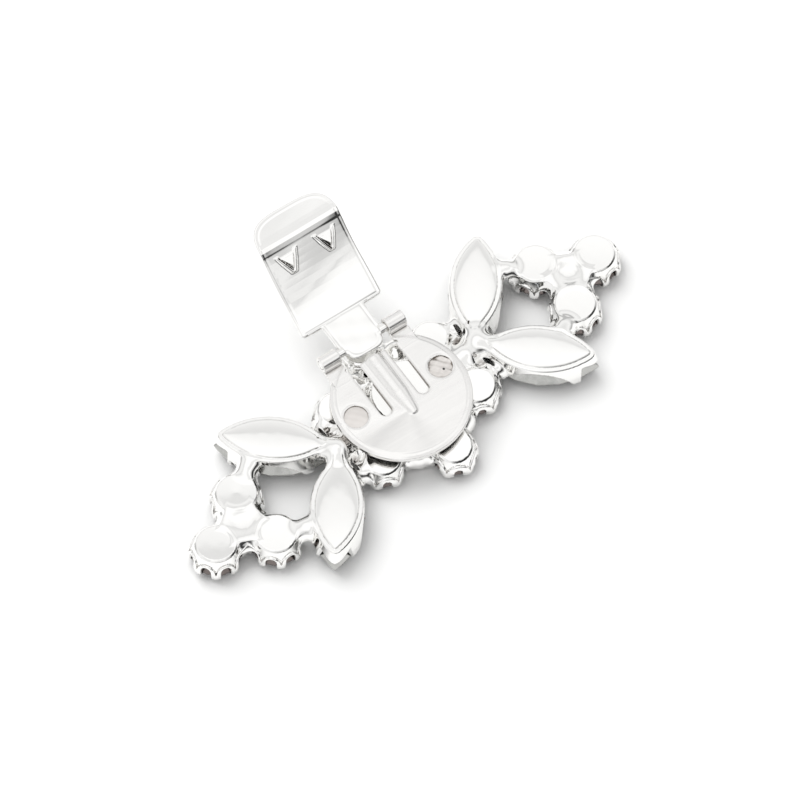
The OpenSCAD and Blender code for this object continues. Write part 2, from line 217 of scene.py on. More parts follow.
def outline_distance(q, z, corners):
    """Signed distance in a plane to a closed outline with straight sides."""
    best = np.full(q.shape, np.inf)
    inside = np.zeros(q.shape, bool)
    for (q1, z1), (q2, z2) in zip(corners, corners[1:] + corners[:1]):
        eq, ez = q2 - q1, z2 - z1
        t = np.clip(((q - q1) * eq + (z - z1) * ez) / (eq * eq + ez * ez), 0, 1)
        best = np.minimum(best, (q - q1 - t * eq) ** 2 + (z - z1 - t * ez) ** 2)
        if ez:
            crossing = (z1 <= z) != (z2 <= z)
            inside ^= crossing & (q < q1 + eq * (z - z1) / ez)
    return np.where(inside, -1, 1) * np.sqrt(best)


def rounded_outline(q, z, corners, radius):
    return outline_distance(q, z, inset(corners, radius)) - radius


def lens_distance(x, y, half_l, half_w, rounding=0.0):
    """Distance to the pointed oval where two circles overlap, long along x, with its points rounded."""
    r = (half_l ** 2 + half_w ** 2) / (2 * half_w)
    off = r - half_w
    tip = math.sqrt((r - rounding) ** 2 - off ** 2)
    ax, ay = np.abs(x), np.abs(y)
    beyond = (ax - tip) * off > ay * tip
    return np.where(beyond, np.hypot(ax - tip, ay) - rounding, np.hypot(ax, ay + off) - r)


def waviness(p, slow, fine=0.0015):
    """Unevenness of hand polishing: slow swells, and fine ripples on them."""
    x, y, z = p.T
    swells = np.sin(0.41 * x + 0.23 * y + 0.5) + np.sin(0.37 * y - 0.29 * x + 0.6 * z + 2.0)
    ripples = np.sin(2.9 * x - 1.3 * y + z) * np.sin(2.3 * y + 1.1 * x)
    return slow * swells + fine * ripples


def ball(p, place, z, radius, height_scale=1.0):
    """Distance to a ball, which a height_scale below 1 makes taller."""
    x, y = p[:, 0] - place[0], p[:, 1] - place[1]
    return np.sqrt(x ** 2 + y ** 2 + ((p[:, 2] - z) * height_scale) ** 2) - radius


# Cups

# The round cups: radius of the stone, height of its girdle and height of the cup's back
ROUND_KINDS = {
    "wing": (WING_R, ROUND_CROWN, ROUND_BACK),
    "ring": (RING_R, ROUND_CROWN, ROUND_BACK),
    "centre": (CENTRE_R, CENTRE_CROWN, CENTRE_BACK),
}
# How many claws a round cup has, and as many windows between them
CLAWS = {"wing": 8, "ring": 6, "centre": 10}
# How far past its stone a cup's field is worked out
CUP_REACH = 2.2
# The usual hollow in a back: depth and power
SHALLOW = (0.05, 2)


class Cup:
    """A round or marquise cup: place and turn in the row frame, and what its field needs.

    lean tips its back away from the viewer, and dish is the depth and power of the hollow in a round back.
    """

    def __init__(self, node, kind, turn, phase=0.0, lean=0.0, dish=SHALLOW):
        low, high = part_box(node)
        self.centre = np.array([(low.x + high.x) / 2, (low.y + high.y) / 2]) / MM
        self.kind, self.turn, self.phase, self.dish = kind, turn, phase, dish
        self.slope = -lean * np.array([math.sin(VIEW_TURN + turn), math.cos(VIEW_TURN + turn)])
        half_l = MARQUISE_HALF_L if kind == "marquise" else ROUND_KINDS[kind][0]
        self.reach = half_l + CUP_REACH

    def local(self, p):
        x, y = turned(p[:, 0] - self.centre[0], p[:, 1] - self.centre[1], self.turn)
        return x, y, p[:, 2]

    def near(self, p):
        return (p[:, 0] - self.centre[0]) ** 2 + (p[:, 1] - self.centre[1]) ** 2 < self.reach ** 2


# Profiles of round cups are drawn outwards from the stone's edge, and closed this far past the middle
PAST_MIDDLE = 3
# How far the claws reach down past the girdle
CLAW_DROP = 0.45
# The stone's pocket: how far its floor is drawn in, and where its mouth ends as shares of crown and radius
CUP_DRAW = 0.75
CROWN_SHARE = 0.42
MOUTH_SHARE = 0.2

# The wall of a round cup, from the flat of its back over the bevel and the bend to the claws
BEVEL_IN = 0.62
BEVEL_W = 0.26
BEVEL_SLOPE = 0.9
BEND_OUT = 0.16
BEND_DROP = 1.8
WALL_OUT = 0.3
WALL_H = 0.5
CLAW_IN = 0.12
WALL_ROUNDING = 0.08
ROUND_BACK_T = 0.4
# Its scallops: the wall stands proud under each arch, with a groove along the arch
ARCH_FOOT = 0.75
ARCH_PROUD = 0.17
ARCH_SHARE = 0.97
BAND_DROP = 0.05
GROOVE_OUT = 0.04
GROOVE_R = 0.07
# The wall is drawn in at each window: how deep, how far below the back that begins, and over what height
VALLEY = {"wing": 0.24, "ring": 0.42, "centre": 0.2}
VALLEY_DROP = 1.9
VALLEY_FADE = 0.9
# The windows: half width, rise of the middle of their round end over the girdle, and depth
WINDOW_HALF_W = {"wing": 0.7, "ring": 0.55, "centre": 0.6}
WINDOW_RISE = 1.05
WINDOW_DEPTH = 0.9
# A leaning back begins to lean at this height, and leans fully this much higher
LEAN_FROM = 1.8
LEAN_OVER = 1.6


def folded(cup, x, y, r_wall):
    """Length along the wall from the middle of the nearest window, and half the spacing of the windows."""
    sector = 2 * math.pi / CLAWS[cup.kind]
    angle = np.arctan2(y, x) - cup.phase
    fold = angle - sector * np.round(angle / sector)
    return fold * r_wall, sector * r_wall / 2


def untipped(cup, x, y, z):
    """Height in a round cup as if its back were level: its foot stays level, and its back leans."""
    share = ease(np.clip((z - LEAN_FROM) / LEAN_OVER, 0, 1))
    return z - (cup.slope[0] * x + cup.slope[1] * y) * share


def pocket_distance(q, z, inner, mouth, crown, floor):
    """Distance to the hollow that holds a stone, open below at its mouth."""
    return outline_distance(q, z, [
        (inner, -1), (mouth, -1), (mouth, crown * CROWN_SHARE - STONE_ROOM),
        (STONE_ROOM, crown - STONE_ROOM), (STONE_ROOM, crown + GIRDLE_H + STONE_ROOM), (-CUP_DRAW, floor),
        (inner, floor)])


def round_body(cup, x, y, z):
    radius, crown, back = ROUND_KINDS[cup.kind]
    q = np.hypot(x, y) - radius
    depth, power = cup.dish
    hollow = np.clip(1 - ((q + radius) / (radius - BEVEL_IN)) ** power, 0, None)
    z = untipped(cup, x, y, z) + depth * hollow
    s, half = folded(cup, x, y, radius + WALL_OUT)
    inner, low = -radius - PAST_MIDDLE, crown - CLAW_DROP
    fall = ease(np.clip((back - VALLEY_DROP - z) / VALLEY_FADE, 0, 1))
    valley = VALLEY[cup.kind] * (0.5 + 0.5 * np.cos(math.pi * s / half)) * fall
    section = [
        (inner, back), (-BEVEL_IN, back), (BEVEL_W - BEVEL_IN, back - BEVEL_W * BEVEL_SLOPE),
        (BEND_OUT, back - BEND_DROP), (WALL_OUT, crown + WALL_H), (WALL_OUT, crown), (-CLAW_IN, low),
        (inner, low)]
    body = rounded_outline(q + valley, z, section, WALL_ROUNDING)
    foot = crown + ARCH_FOOT
    arch = smooth_min(np.hypot(s, z - foot) - half * ARCH_SHARE, z - foot, 0.12)
    band = smooth_max(smooth_max(body - ARCH_PROUD, arch, 0.16), low - BAND_DROP - z, 0.2)
    body = smooth_min(body, band, 0.05)
    groove = np.hypot(arch - GROOVE_OUT, body) - GROOVE_R
    return smooth_max(body, -groove, 0.04)


def round_cuts(cup, x, y, z):
    radius, crown, back = ROUND_KINDS[cup.kind]
    q = np.hypot(x, y) - radius
    z = untipped(cup, x, y, z)
    inner, mouth = -radius - PAST_MIDDLE, -MOUTH_SHARE * radius
    pocket = pocket_distance(q, z, inner, mouth, crown, back - ROUND_BACK_T)
    s, _ = folded(cup, x, y, radius + WALL_OUT)
    window = np.hypot(s, np.clip(z - crown - WINDOW_RISE, 0, None)) - WINDOW_HALF_W[cup.kind]
    window = np.maximum(window, -WINDOW_DEPTH - q)
    return smooth_min(pocket, window, 0.1)


# The wall of a marquise cup: way out from the stone's edge, and height
MARQUISE_IN = -9
MARQUISE_LOW = MARQUISE_CROWN - CLAW_DROP
MARQUISE_WALL_TOP = MARQUISE_BACK - 0.2
MARQUISE_WALL = [
    (MARQUISE_IN, MARQUISE_WALL_TOP), (-0.3, MARQUISE_WALL_TOP), (-0.14, MARQUISE_BACK - 0.36), (0.36, 2.7),
    (SKIN, 1.9), (SKIN, MARQUISE_CROWN), (0.08, MARQUISE_LOW), (MARQUISE_IN, MARQUISE_LOW)]
MARQUISE_WALL_ROUNDING = 0.09
MARQUISE_MOUTH = -0.7
MARQUISE_BACK_T = 0.6
TIP_ROUNDING = 1.1
# A lip runs round the wall: how far in its middle is, its height and its radius
LIP_IN = 0.05
LIP_Z = 2.95
LIP_R = 0.13
# The bulging back starts this far inside the stone's edge
DOME_IN = -0.78
DOME_RISE = 0.42
DOME_SOFT = 1.4
DOME_STEEPNESS = 0.9
# Each long side has a scoop cut from below, and each end is notched: all cuts end this far out
CUT_OUT = 0.72
SCOOP_RISE = 2.8
SCOOP_HALF_L = 4.5
SCOOP_R = (SCOOP_HALF_L ** 2 + SCOOP_RISE ** 2) / (2 * SCOOP_RISE)
NOTCH_IN = 5.5
NOTCH_RISE = 1.65
NOTCH_FLARE = 0.45


def marquise_body(cup, x, y, z):
    q = lens_distance(x, y, MARQUISE_HALF_L, MARQUISE_HALF_W, TIP_ROUNDING)
    z = z - cup.slope[0] * x - cup.slope[1] * y
    wall = rounded_outline(q, z, MARQUISE_WALL, MARQUISE_WALL_ROUNDING)
    wall = smooth_min(wall, np.hypot(q + LIP_IN, z - LIP_Z) - LIP_R, 0.18)
    one, other = (
        np.clip(MARQUISE_ARC_R + DOME_IN - np.hypot(x, y + off), 0.001, None)
        for off in (MARQUISE_ARC_OFF, -MARQUISE_ARC_OFF))
    top = MARQUISE_BACK + DOME_RISE * (1 - np.exp(-one * other / (one + other) / DOME_SOFT))
    dome = smooth_max(q - DOME_IN, (z - top) * DOME_STEEPNESS, 0.16)
    dome = smooth_max(dome, MARQUISE_CROWN + 1 - z, 0.1)
    return smooth_min(wall, dome, 0.05)


def marquise_cuts(cup, x, y, z):
    q = lens_distance(x, y, MARQUISE_HALF_L, MARQUISE_HALF_W)
    floor = MARQUISE_BACK - MARQUISE_BACK_T
    pocket = pocket_distance(q, z, MARQUISE_IN, MARQUISE_MOUTH, MARQUISE_CROWN, floor)
    rise = z - MARQUISE_CROWN
    scoop = np.hypot(x, rise - SCOOP_RISE + SCOOP_R) - SCOOP_R
    scoop = smooth_max(scoop, q - CUT_OUT, 0.1)
    notch = smooth_max(rise - NOTCH_RISE - NOTCH_FLARE * np.abs(y), NOTCH_IN - np.abs(x), 0.3)
    notch = smooth_max(notch, q - CUT_OUT, 0.1)
    return smooth_min(smooth_min(pocket, scoop, 0.12), notch, 0.12)


def spray(x, y):
    """A point of the spray's own frame, in the row frame."""
    return np.array(turned(x, y, -SPRAY_TURN)) + cups[0].centre


def along_spray(p):
    """Way along the spray's long axis from its middle."""
    return cups[0].local(p)[0]


def between(a, b, ra, rb):
    """Middle of the gap between two circles."""
    return a + (b - a) * (ra + (np.linalg.norm(b - a) - ra - rb) / 2) / np.linalg.norm(b - a)


RING_COUNT = 6
RING_STEP = 60
RING_PHASE = deg(30)
# The backs of the ring cups lean, but not those of the first two, which are on the far side by the lever
RING_LEAN = -0.15
cups = [Cup("centre_stone", "centre", SPRAY_TURN)]
for i in range(RING_COUNT):
    turn = SPRAY_TURN + deg(RING_STEP * i + RING_STEP / 2)
    cups.append(Cup(f"ring_stone_{i + 1}", "ring", turn, RING_PHASE, RING_LEAN if i > 1 else 0))
ring = cups[1:]

# Each wing's sign, the lean of its marquises, the height of its web, and the phase, lean and dish of its
# round cups
WINGS = {
    "right": (1, 0.0, 3.65, {
        "outer": (deg(6), 0.0, SHALLOW),
        "back": (deg(24), -0.01, SHALLOW),
        "front": (deg(10), 0.0, (0.04, 2)),
    }),
    "left": (-1, 0.05, 3.95, {
        "outer": (deg(26.5), 0.07, SHALLOW),
        "back": (deg(16), 0.065, (0.09, 1)),
        "front": (deg(-6.5), -0.02, SHALLOW),
    }),
}
# Blobs of solder as place, height and radius, and webs of solder as corners and height of the top
solder = []
webs = []


def joint_with(marquise, other, radius):
    """Middle of the gap between a marquise's nearest side and a round cup."""
    normal = np.array([-math.sin(marquise.turn), math.cos(marquise.turn)]) * MARQUISE_ARC_OFF
    gap = MARQUISE_ARC_R + radius + 2 * SKIN + SOLDER_GAP
    arcs = (marquise.centre + normal, marquise.centre - normal)
    arc = min(arcs, key=lambda a: abs(np.linalg.norm(a - other.centre) - gap))
    return between(arc, other.centre, MARQUISE_ARC_R + SKIN, radius + SKIN)


def place_wing(side, sign, lean, web_top, rounds):
    """Cups and solder of one wing: two marquises, a round cup beside the end of each, and an outer one."""
    trio = {}
    marquises = {}
    for up, word in ((1, "back"), (-1, "front")):
        turn = SPRAY_TURN + sign * up * MARQUISE_ANGLE
        marquises[word] = Cup(f"{side}_marquise_{word}", "marquise", turn, lean=lean)
    for word, (phase, cup_lean, dish) in rounds.items():
        trio[word] = Cup(f"{side}_stone_{word}", "wing", SPRAY_TURN, phase, cup_lean, dish)
    solder.append((spray(sign * ROOT_X, 0), SOLDER_Z + SOLDER_GAP + ROOT_RISE, ROOT_SOLDER_R))
    reach = WING_R + SKIN
    solder.append((between(trio["back"].centre, trio["front"].centre, reach, reach), SOLDER_Z, SOLDER_R))
    for word, marquise in marquises.items():
        middle = between(trio[word].centre, trio["outer"].centre, reach, reach)
        solder.append((middle, SOLDER_Z, SOLDER_R))
        solder.append((joint_with(marquise, trio[word], WING_R), HIGH_SOLDER_Z, HIGH_SOLDER_R))
        nearest = min(ring, key=lambda c: np.linalg.norm(c.centre - marquise.centre))
        solder.append((joint_with(marquise, nearest, RING_R), SOLDER_Z, SOLDER_R))
    webs.append(([tuple(cup.centre) for cup in trio.values()], web_top))
    cups.extend([*marquises.values(), *trio.values()])


for cup in ring:
    middle = between(cups[0].centre, cup.centre, CENTRE_R + SKIN, RING_R + SKIN)
    solder.append((middle, SOLDER_Z, CENTRE_SOLDER_R))
for i in range(RING_COUNT):
    at, radius = AXIS_GAP_BLOB if i % (RING_COUNT // 2) == 0 else SIDE_GAP_BLOB
    angle = deg(RING_STEP * i)
    place = spray(at * math.cos(angle), at * math.sin(angle))
    solder.append((place, SOLDER_Z - GAP_BLOB_DROP, radius))
for side, (sign, lean, web_top, rounds) in WINGS.items():
    place_wing(side, sign, lean, web_top, rounds)

# Pinholes in the solder at each wing's root: place in the spray's frame, height and radius
PINHOLES = (
    (10.2, -1.3, 4.3, 0.24),
    (11.3, -2.7, 4.2, 0.28),
    (12.6, 2.5, 4.9, 0.2),
    (9.9, 1.9, 3.9, 0.3),
)
pinholes = [(spray(sign * x, y), z, r) for sign in (1, -1) for x, y, z, r in PINHOLES]

# A blend is the width over which two forms run into each other
CUP_BLEND = 0.35
CUT_BLEND = 0.1
SOLDER_BLEND = 1.2
SOLDER_HEIGHT_SCALE = 0.92
WEB_T = 2.2
WEB_CLEAR = 0.75
WEB_ROUNDING = 0.2
WEB_BLEND = 0.7
PINHOLE_BLEND = 0.06
CUP_WAVES = 0.01


def near_cups(p):
    """Each cup that has points near it: which they are, the cup, and their places in its own axes."""
    for cup in cups:
        near = cup.near(p)
        if near.any():
            yield near, cup, cup.local(p[near])


def web_distance(p, corners, top):
    """Distance to a flat web of solder between three round cups, clear of their backs."""
    flat = outline_distance(p[:, 0], p[:, 1], corners) - WEB_ROUNDING
    for x, y in corners:
        flat = np.maximum(flat, WING_R - WEB_CLEAR - np.hypot(p[:, 0] - x, p[:, 1] - y))
    return smooth_max(flat, np.abs(p[:, 2] - top + WEB_T / 2) - WEB_T / 2, 0.2)


def cup_metal(p):
    total = np.full(len(p), FAR)
    for near, cup, own in near_cups(p):
        body = marquise_body if cup.kind == "marquise" else round_body
        total[near] = smooth_min(total[near], body(cup, *own), CUP_BLEND)
    for place, z, r in solder:
        total = smooth_min(total, ball(p, place, z, r, SOLDER_HEIGHT_SCALE), SOLDER_BLEND)
    for corners, top in webs:
        total = smooth_min(total, web_distance(p, corners, top), WEB_BLEND)
    for place, z, r in pinholes:
        total = smooth_max(total, -ball(p, place, z, r), PINHOLE_BLEND)
    for near, cup, own in near_cups(p):
        cuts = marquise_cuts if cup.kind == "marquise" else round_cuts
        total[near] = smooth_max(total[near], -cuts(cup, *own), CUT_BLEND)
    return total + waviness(p, CUP_WAVES)


def ended(p, beyond):
    """The setting's metal up to a seam: past it the skin sinks below the next piece's, and then it ends."""
    sunk = SEAM_SINK * ease(np.clip(beyond / (2 * SEAM_LAP) + 0.5, 0, 1))
    return np.maximum(cup_metal(p) + sunk, beyond - SEAM_LAP)


def wing_metal(sign):
    return lambda p: ended(p, SEAM_X - sign * along_spray(p))


def middle_metal(p):
    return ended(p, np.abs(along_spray(p)) - SEAM_X)


# Clip plate

# Half section of the plate: way from its middle, and height
PLATE_SECTION = [
    (-2, PLATE_TOP), (PLATE_R - 0.82, PLATE_TOP), (PLATE_R - 0.62, PLATE_TOP - 0.1),
    (PLATE_R - 0.02, PLATE_TOP - 0.4), (PLATE_R, PLATE_TOP - RIM_H), (PLATE_R - 0.45, PLATE_TOP - RIM_H),
    (PLATE_R - 0.5, PLATE_TOP - 0.66), (PLATE_R - 1.1, PLATE_UNDER), (-2, PLATE_UNDER)]
PLATE_ROUNDING = 0.1
# Within TOP_SKIN of its top the plate falls by PLATE_FALL times the square of the way from the middle
PLATE_FALL = 0.0016
TOP_SKIN = 0.2
PLATE_WAVES = 0.015
HOLE_ROUNDING = 0.6
SLOT_ROUNDING = 0.35
NOTCH_ROUNDING = 0.2
RIB_BLEND = 0.22
EAR_BLEND = 0.25
RELIEF_ROUNDING = 0.08

# The rib on the tongue: where it runs, radius, height, where it begins to widen and over what length, and
# how far it ends inside the tongue's end and the sheet's underside
RIB_SPAN = (-2.8, 6.2)
RIB_R = 1.5
RIB_H = 0.5
RIB_TAPER_FROM = -3.2
RIB_TAPER_L = 3.6
RIB_ENDS = 0.1

# An ear is a strip of the sheet, curled over the hinge line
KNUCKLE_R = 0.83
EAR_HALF_T = 0.25
EAR_BORE = 0.6
STRIP_DROP = 0.85
STRIP_MID = 7.2
STRIP_HALF_L = 1.75
# Its seam: direction across it, way from the hinge line, half width and where it begins
EAR_SEAM_ACROSS = (0.34, 0.94)
EAR_SEAM_OFF = 0.12
EAR_SEAM_HALF_W = 0.035
EAR_SEAM_FROM = 0.92
# A small round relief is cut where the ear meets the notch for the lever's heel
RELIEF_AT = (EAR_IN + 0.05, TONGUE_END + 0.1)
RELIEF_R = 0.24


def rib(x, y, z):
    taper = np.clip((y - RIB_TAPER_FROM) / RIB_TAPER_L, 0.0, 1.0)
    radius = RIB_R * (0.12 + 0.88 * np.sqrt(taper))
    axis = PLATE_TOP - radius + RIB_H * (0.6 + 0.4 * taper)
    body = np.sqrt(x ** 2 + (y - np.clip(y, *RIB_SPAN)) ** 2 + (z - axis) ** 2) - radius
    return np.maximum(np.maximum(body, y - TONGUE_END + RIB_ENDS), PLATE_UNDER + RIB_ENDS - z)


def ear(ax, y, z):
    dy, dz = y - HINGE_Y, z - HINGE_Z
    curl = np.hypot(dy, dz)
    across = np.abs(ax - EAR_IN - EAR_L / 2) - EAR_L / 2
    knuckle = smooth_max(np.abs(curl - KNUCKLE_R) - EAR_HALF_T, across, 0.14)
    seam = np.abs(dz * EAR_SEAM_ACROSS[1] + dy * EAR_SEAM_ACROSS[0] - EAR_SEAM_OFF) - EAR_SEAM_HALF_W
    seam = np.maximum(np.maximum(seam, dy), EAR_SEAM_FROM - curl)
    strip = np.maximum(np.abs(dz + STRIP_DROP) - EAR_HALF_T, np.abs(y - STRIP_MID) - STRIP_HALF_L)
    strip = np.maximum(strip, across)
    whole = smooth_min(smooth_max(knuckle, -seam, 0.06), strip, 0.12)
    return np.maximum(whole, EAR_BORE - curl)


def plate_metal(p):
    x, y, z = p.T
    ax = np.abs(x)
    r = np.hypot(x, y)
    shell = rounded_outline(r, z, PLATE_SECTION, PLATE_ROUNDING)
    shell = shell + waviness(p, PLATE_WAVES) + PLATE_FALL * (r ** 2) * (z > PLATE_TOP - TOP_SKIN)
    hole = np.hypot(ax - SEW_X, y - SEW_Y) - SEW_R
    shell = smooth_max(shell, -hole, HOLE_ROUNDING)
    slot = np.hypot(ax - TONGUE_HALF_W - SLOT_W / 2, np.clip(TONGUE_ROOT - y, 0, None)) - SLOT_W / 2
    shell = smooth_max(shell, -slot, SLOT_ROUNDING)
    notch = np.maximum(ax - EAR_IN, TONGUE_END - y)
    shell = smooth_max(shell, -notch, NOTCH_ROUNDING)
    shell = smooth_min(shell, rib(x, y, z), RIB_BLEND)
    shell = smooth_min(shell, ear(ax, y, z), EAR_BLEND)
    relief = np.hypot(ax - RELIEF_AT[0], y - RELIEF_AT[1]) - RELIEF_R
    return smooth_max(shell, -relief, RELIEF_ROUNDING)


# The brushing of the plate throws a light and a grey fan: middle and half width in degrees, and the lean.
# Both spread from FAN_AT, which is given across and away in the picture from the plate's middle
PLATE_FANS = ((-158, 22, 0.12), (-85, 34, -0.055))
FAN_AT = (1.0, -2.2)


def plate_shade(p):
    """The plate's field for its normals only: its face leans where a fan of light or shade is seen."""
    u, v = turned(p[:, 0], p[:, 1], -VIEW_TURN)
    u, v = u - FAN_AT[0], v - FAN_AT[1]
    angle = np.degrees(np.arctan2(v, u))
    lean = np.zeros(len(p))
    for middle, half, tilt in PLATE_FANS:
        off = (angle - middle + 180) % 360 - 180
        lean += tilt * np.exp(-(off / half) ** 2)
    return plate_metal(p) - lean * v


FILL_R = 1.75
FILL_TOP = 5.98
FILL_FOOT = 4.0
# The top falls by this times the square of the way from the hole's middle
FILL_FALL = 0.06


def fill_metal(p):
    """Solder under the sewing holes, which shows through them: lumpy on the right and flat on the left."""
    x, y, z = p.T
    away_from_hole = np.hypot(np.abs(x) - SEW_X, y - SEW_Y)
    lumps = np.sin(3.1 * x + 1.2 * y) + np.sin(4.3 * y - 1.9 * x + 1.0) + np.sin(5.7 * x + 4.9 * y + 2.0)
    top = FILL_TOP - FILL_FALL * away_from_hole ** 2 + np.where(x > 0, 0.05 * lumps - 0.08, 0.01 * lumps)
    return smooth_max(smooth_max(away_from_hole - FILL_R, z - top, 0.3), FILL_FOOT - z, 0.1)


# Lever

def sheet_line():
    """Middle line of the sheet in the plane across the hinge, from the heel to the flared tip."""
    pts = [(-2 * HEEL_L, 0.0), (NECK_L, 0.0)]
    bend = (FLAP_END - FLAP_START) / FLAP_STEPS
    steps = [(FLAP_START + bend * (i + 0.5), FLAP_L / FLAP_STEPS) for i in range(FLAP_STEPS)]
    for i in range(CURL_STEPS):
        share = math.sin(math.pi / 2 * (i + 1) / CURL_STEPS)
        steps.append((FLAP_END + CURL_SLOPE * share, CURL_L / CURL_STEPS))
    peak = FLAP_END + CURL_SLOPE
    for i in range(TIP_STEPS):
        share = ease(min(1, (i + 0.7) * TIP_L / TIP_STEPS / TIP_BEND))
        steps.append((peak + (TIP_SLOPE - peak) * share, TIP_L / TIP_STEPS))
    # The line goes on past the tip, where the flap's outline ends the sheet
    steps.append((TIP_SLOPE, 2))
    for slope, step in steps:
        y, z = pts[-1]
        pts.append((y + step * math.cos(deg(slope)), z + step * math.sin(deg(slope))))
    return pts


def flap_outline():
    """Outline of the flap on the unrolled sheet, with cut corners at the bend and a rounded end."""
    end = NECK_L + FLAP_L + CURL_L + TIP_L
    low, high = NECK_L - FLAP_LAP, NECK_L - FLAP_LAP + FLAP_CORNER_L
    pts = [(-FLAP_HALF_W + FLAP_CORNER, low), (FLAP_HALF_W - FLAP_CORNER, low), (FLAP_HALF_W, high)]
    for a in np.radians(np.arange(0, 181, 6)):
        x = FLAP_HALF_W * math.copysign(abs(math.cos(a)) ** END_POWER, math.cos(a))
        pts.append((x, end - END_L + END_L * math.sin(a) ** END_POWER))
    pts.append((-FLAP_HALF_W, high))
    return pts


SHEET = sheet_line()
FLAP = flap_outline()


def on_sheet(y, z):
    """Distance from the sheet's middle line, signed by side, and length along it from the hinge."""
    best = np.full(y.shape, np.inf)
    along = np.zeros(y.shape)
    side = np.ones(y.shape)
    start = SHEET[0][0]
    for (y1, z1), (y2, z2) in zip(SHEET, SHEET[1:]):
        length = math.hypot(y2 - y1, z2 - z1)
        ty, tz = (y2 - y1) / length, (z2 - z1) / length
        t = np.clip((y - y1) * ty + (z - z1) * tz, 0, length)
        d = np.hypot(y - y1 - t * ty, z - z1 - t * tz)
        closer = d < best
        best = np.where(closer, d, best)
        along = np.where(closer, start + t, along)
        side = np.where(closer, np.sign((z - z1) * ty - (y - y1) * tz), side)
        start += length
    return best * side, along


def toothed(sheet, x, off, s):
    """The sheet with its teeth: each is a leaning wedge in a V of raised rim, with a slit on one side."""
    beside = np.abs(x) - TOOTH_PITCH / 2
    w = s - TOOTH_S
    half, tall = TOOTH_L / 2, LEVER_T / 2 + TOOTH_H
    flank = (np.abs(beside) * TOOTH_L - (w + half) * TOOTH_W / 2) / math.hypot(TOOTH_W / 2, TOOTH_L)
    front = (off - tall * (w + half) / (half * TOOTH_PEAK)) * FRONT_SCALE
    back = (off - tall + (w + TOOTH_L / 6) * tall / (half + TOOTH_L / 6)) * BACK_SCALE
    tooth = smooth_max(smooth_max(flank + np.clip(off, 0, None) * TOOTH_DRAW, back, 0.08), front, 0.1)
    tooth = np.maximum(tooth, -off - LEVER_T / 2 + 0.1)
    collar = np.hypot(flank - COLLAR_OUT, off - LEVER_T / 2) - COLLAR_R
    collar = collar + COLLAR_THINNING * np.clip(w / half, 0, 1)
    shifted = np.abs(w + COLLAR_SHIFT)
    collar = smooth_max(collar, shifted - half, 0.2)
    slit = np.maximum(np.abs(flank - SLIT_OUT) - SLIT_HALF_W, shifted - half * SLIT_SHARE)
    slit = np.maximum(np.maximum(slit, beside * np.sign(x)), -off)
    sheet = smooth_max(smooth_min(sheet, collar, 0.2), -slit, 0.05)
    return smooth_min(sheet, tooth, 0.05)


def lever_metal(p):
    x, y, z = p[:, 0], p[:, 1] - HINGE_Y, p[:, 2] - HINGE_Z
    ax = np.abs(x)
    off, s = on_sheet(y, z)
    plan = outline_distance(x, s, FLAP)
    neck = smooth_max(ax - NECK_HALF_W, np.abs(s - NECK_MID) - NECK_HALF_L, 0.3)
    heel = smooth_max(ax - HEEL_HALF_W, np.abs(s) - HEEL_L, HEEL_ROUNDING)
    plan = smooth_min(smooth_min(plan, neck, 0.3), heel, 0.3)
    line = LINE_DEPTH * np.exp(-((plan + LINE_IN) / LINE_W) ** 2)
    sheet = smooth_max(np.abs(off) - LEVER_T / 2 + line, plan, 0.3)
    sheet = toothed(sheet, x, off, s)
    rod = smooth_max(np.hypot(y, z) - STUB_R, np.abs(ax - STUB_MID) - STUB_HALF_L, 0.12)
    bumps = SHEET_BUMPS * np.sin(1.1 * x + 0.8 * y + 1.0) * np.sin(0.6 * y - 0.5 * x)
    bumps += NECK_BUMPS * np.sin(1.9 * x + 0.7 * y + 0.7) * np.sin(1.6 * y - 0.8 * x + 0.4) * (s < NECK_L)
    return smooth_min(sheet + waviness(p, LEVER_WAVES) + bumps, rod, 0.12)


# Surface net

CORNERS = [(i, j, k) for i in (0, 1) for j in (0, 1) for k in (0, 1)]
EDGES = [(a, b) for a in CORNERS for b in CORNERS
         if sum(b) - sum(a) == 1 and all(x <= y for x, y in zip(a, b))]
# A field takes this many points at a time
SLAB = 400000
# Vertices are pulled onto the surface in a few rounds. The steps for slopes and normals and the longest
# pull are shares of the pitch, and no squared slope counts for less than FLATTEST
PULLS = 3
SLOPE_STEP = 0.15
NORMAL_STEP = 0.2
LONGEST_PULL = 0.4
FLATTEST = 0.2


def in_slabs(field, p):
    return np.concatenate([field(p[i:i + SLAB]) for i in range(0, len(p), SLAB)])


def gradient(field, p, h):
    steps = np.eye(3) * h
    return np.stack([in_slabs(field, p + e) - in_slabs(field, p - e) for e in steps], -1) / (2 * h)


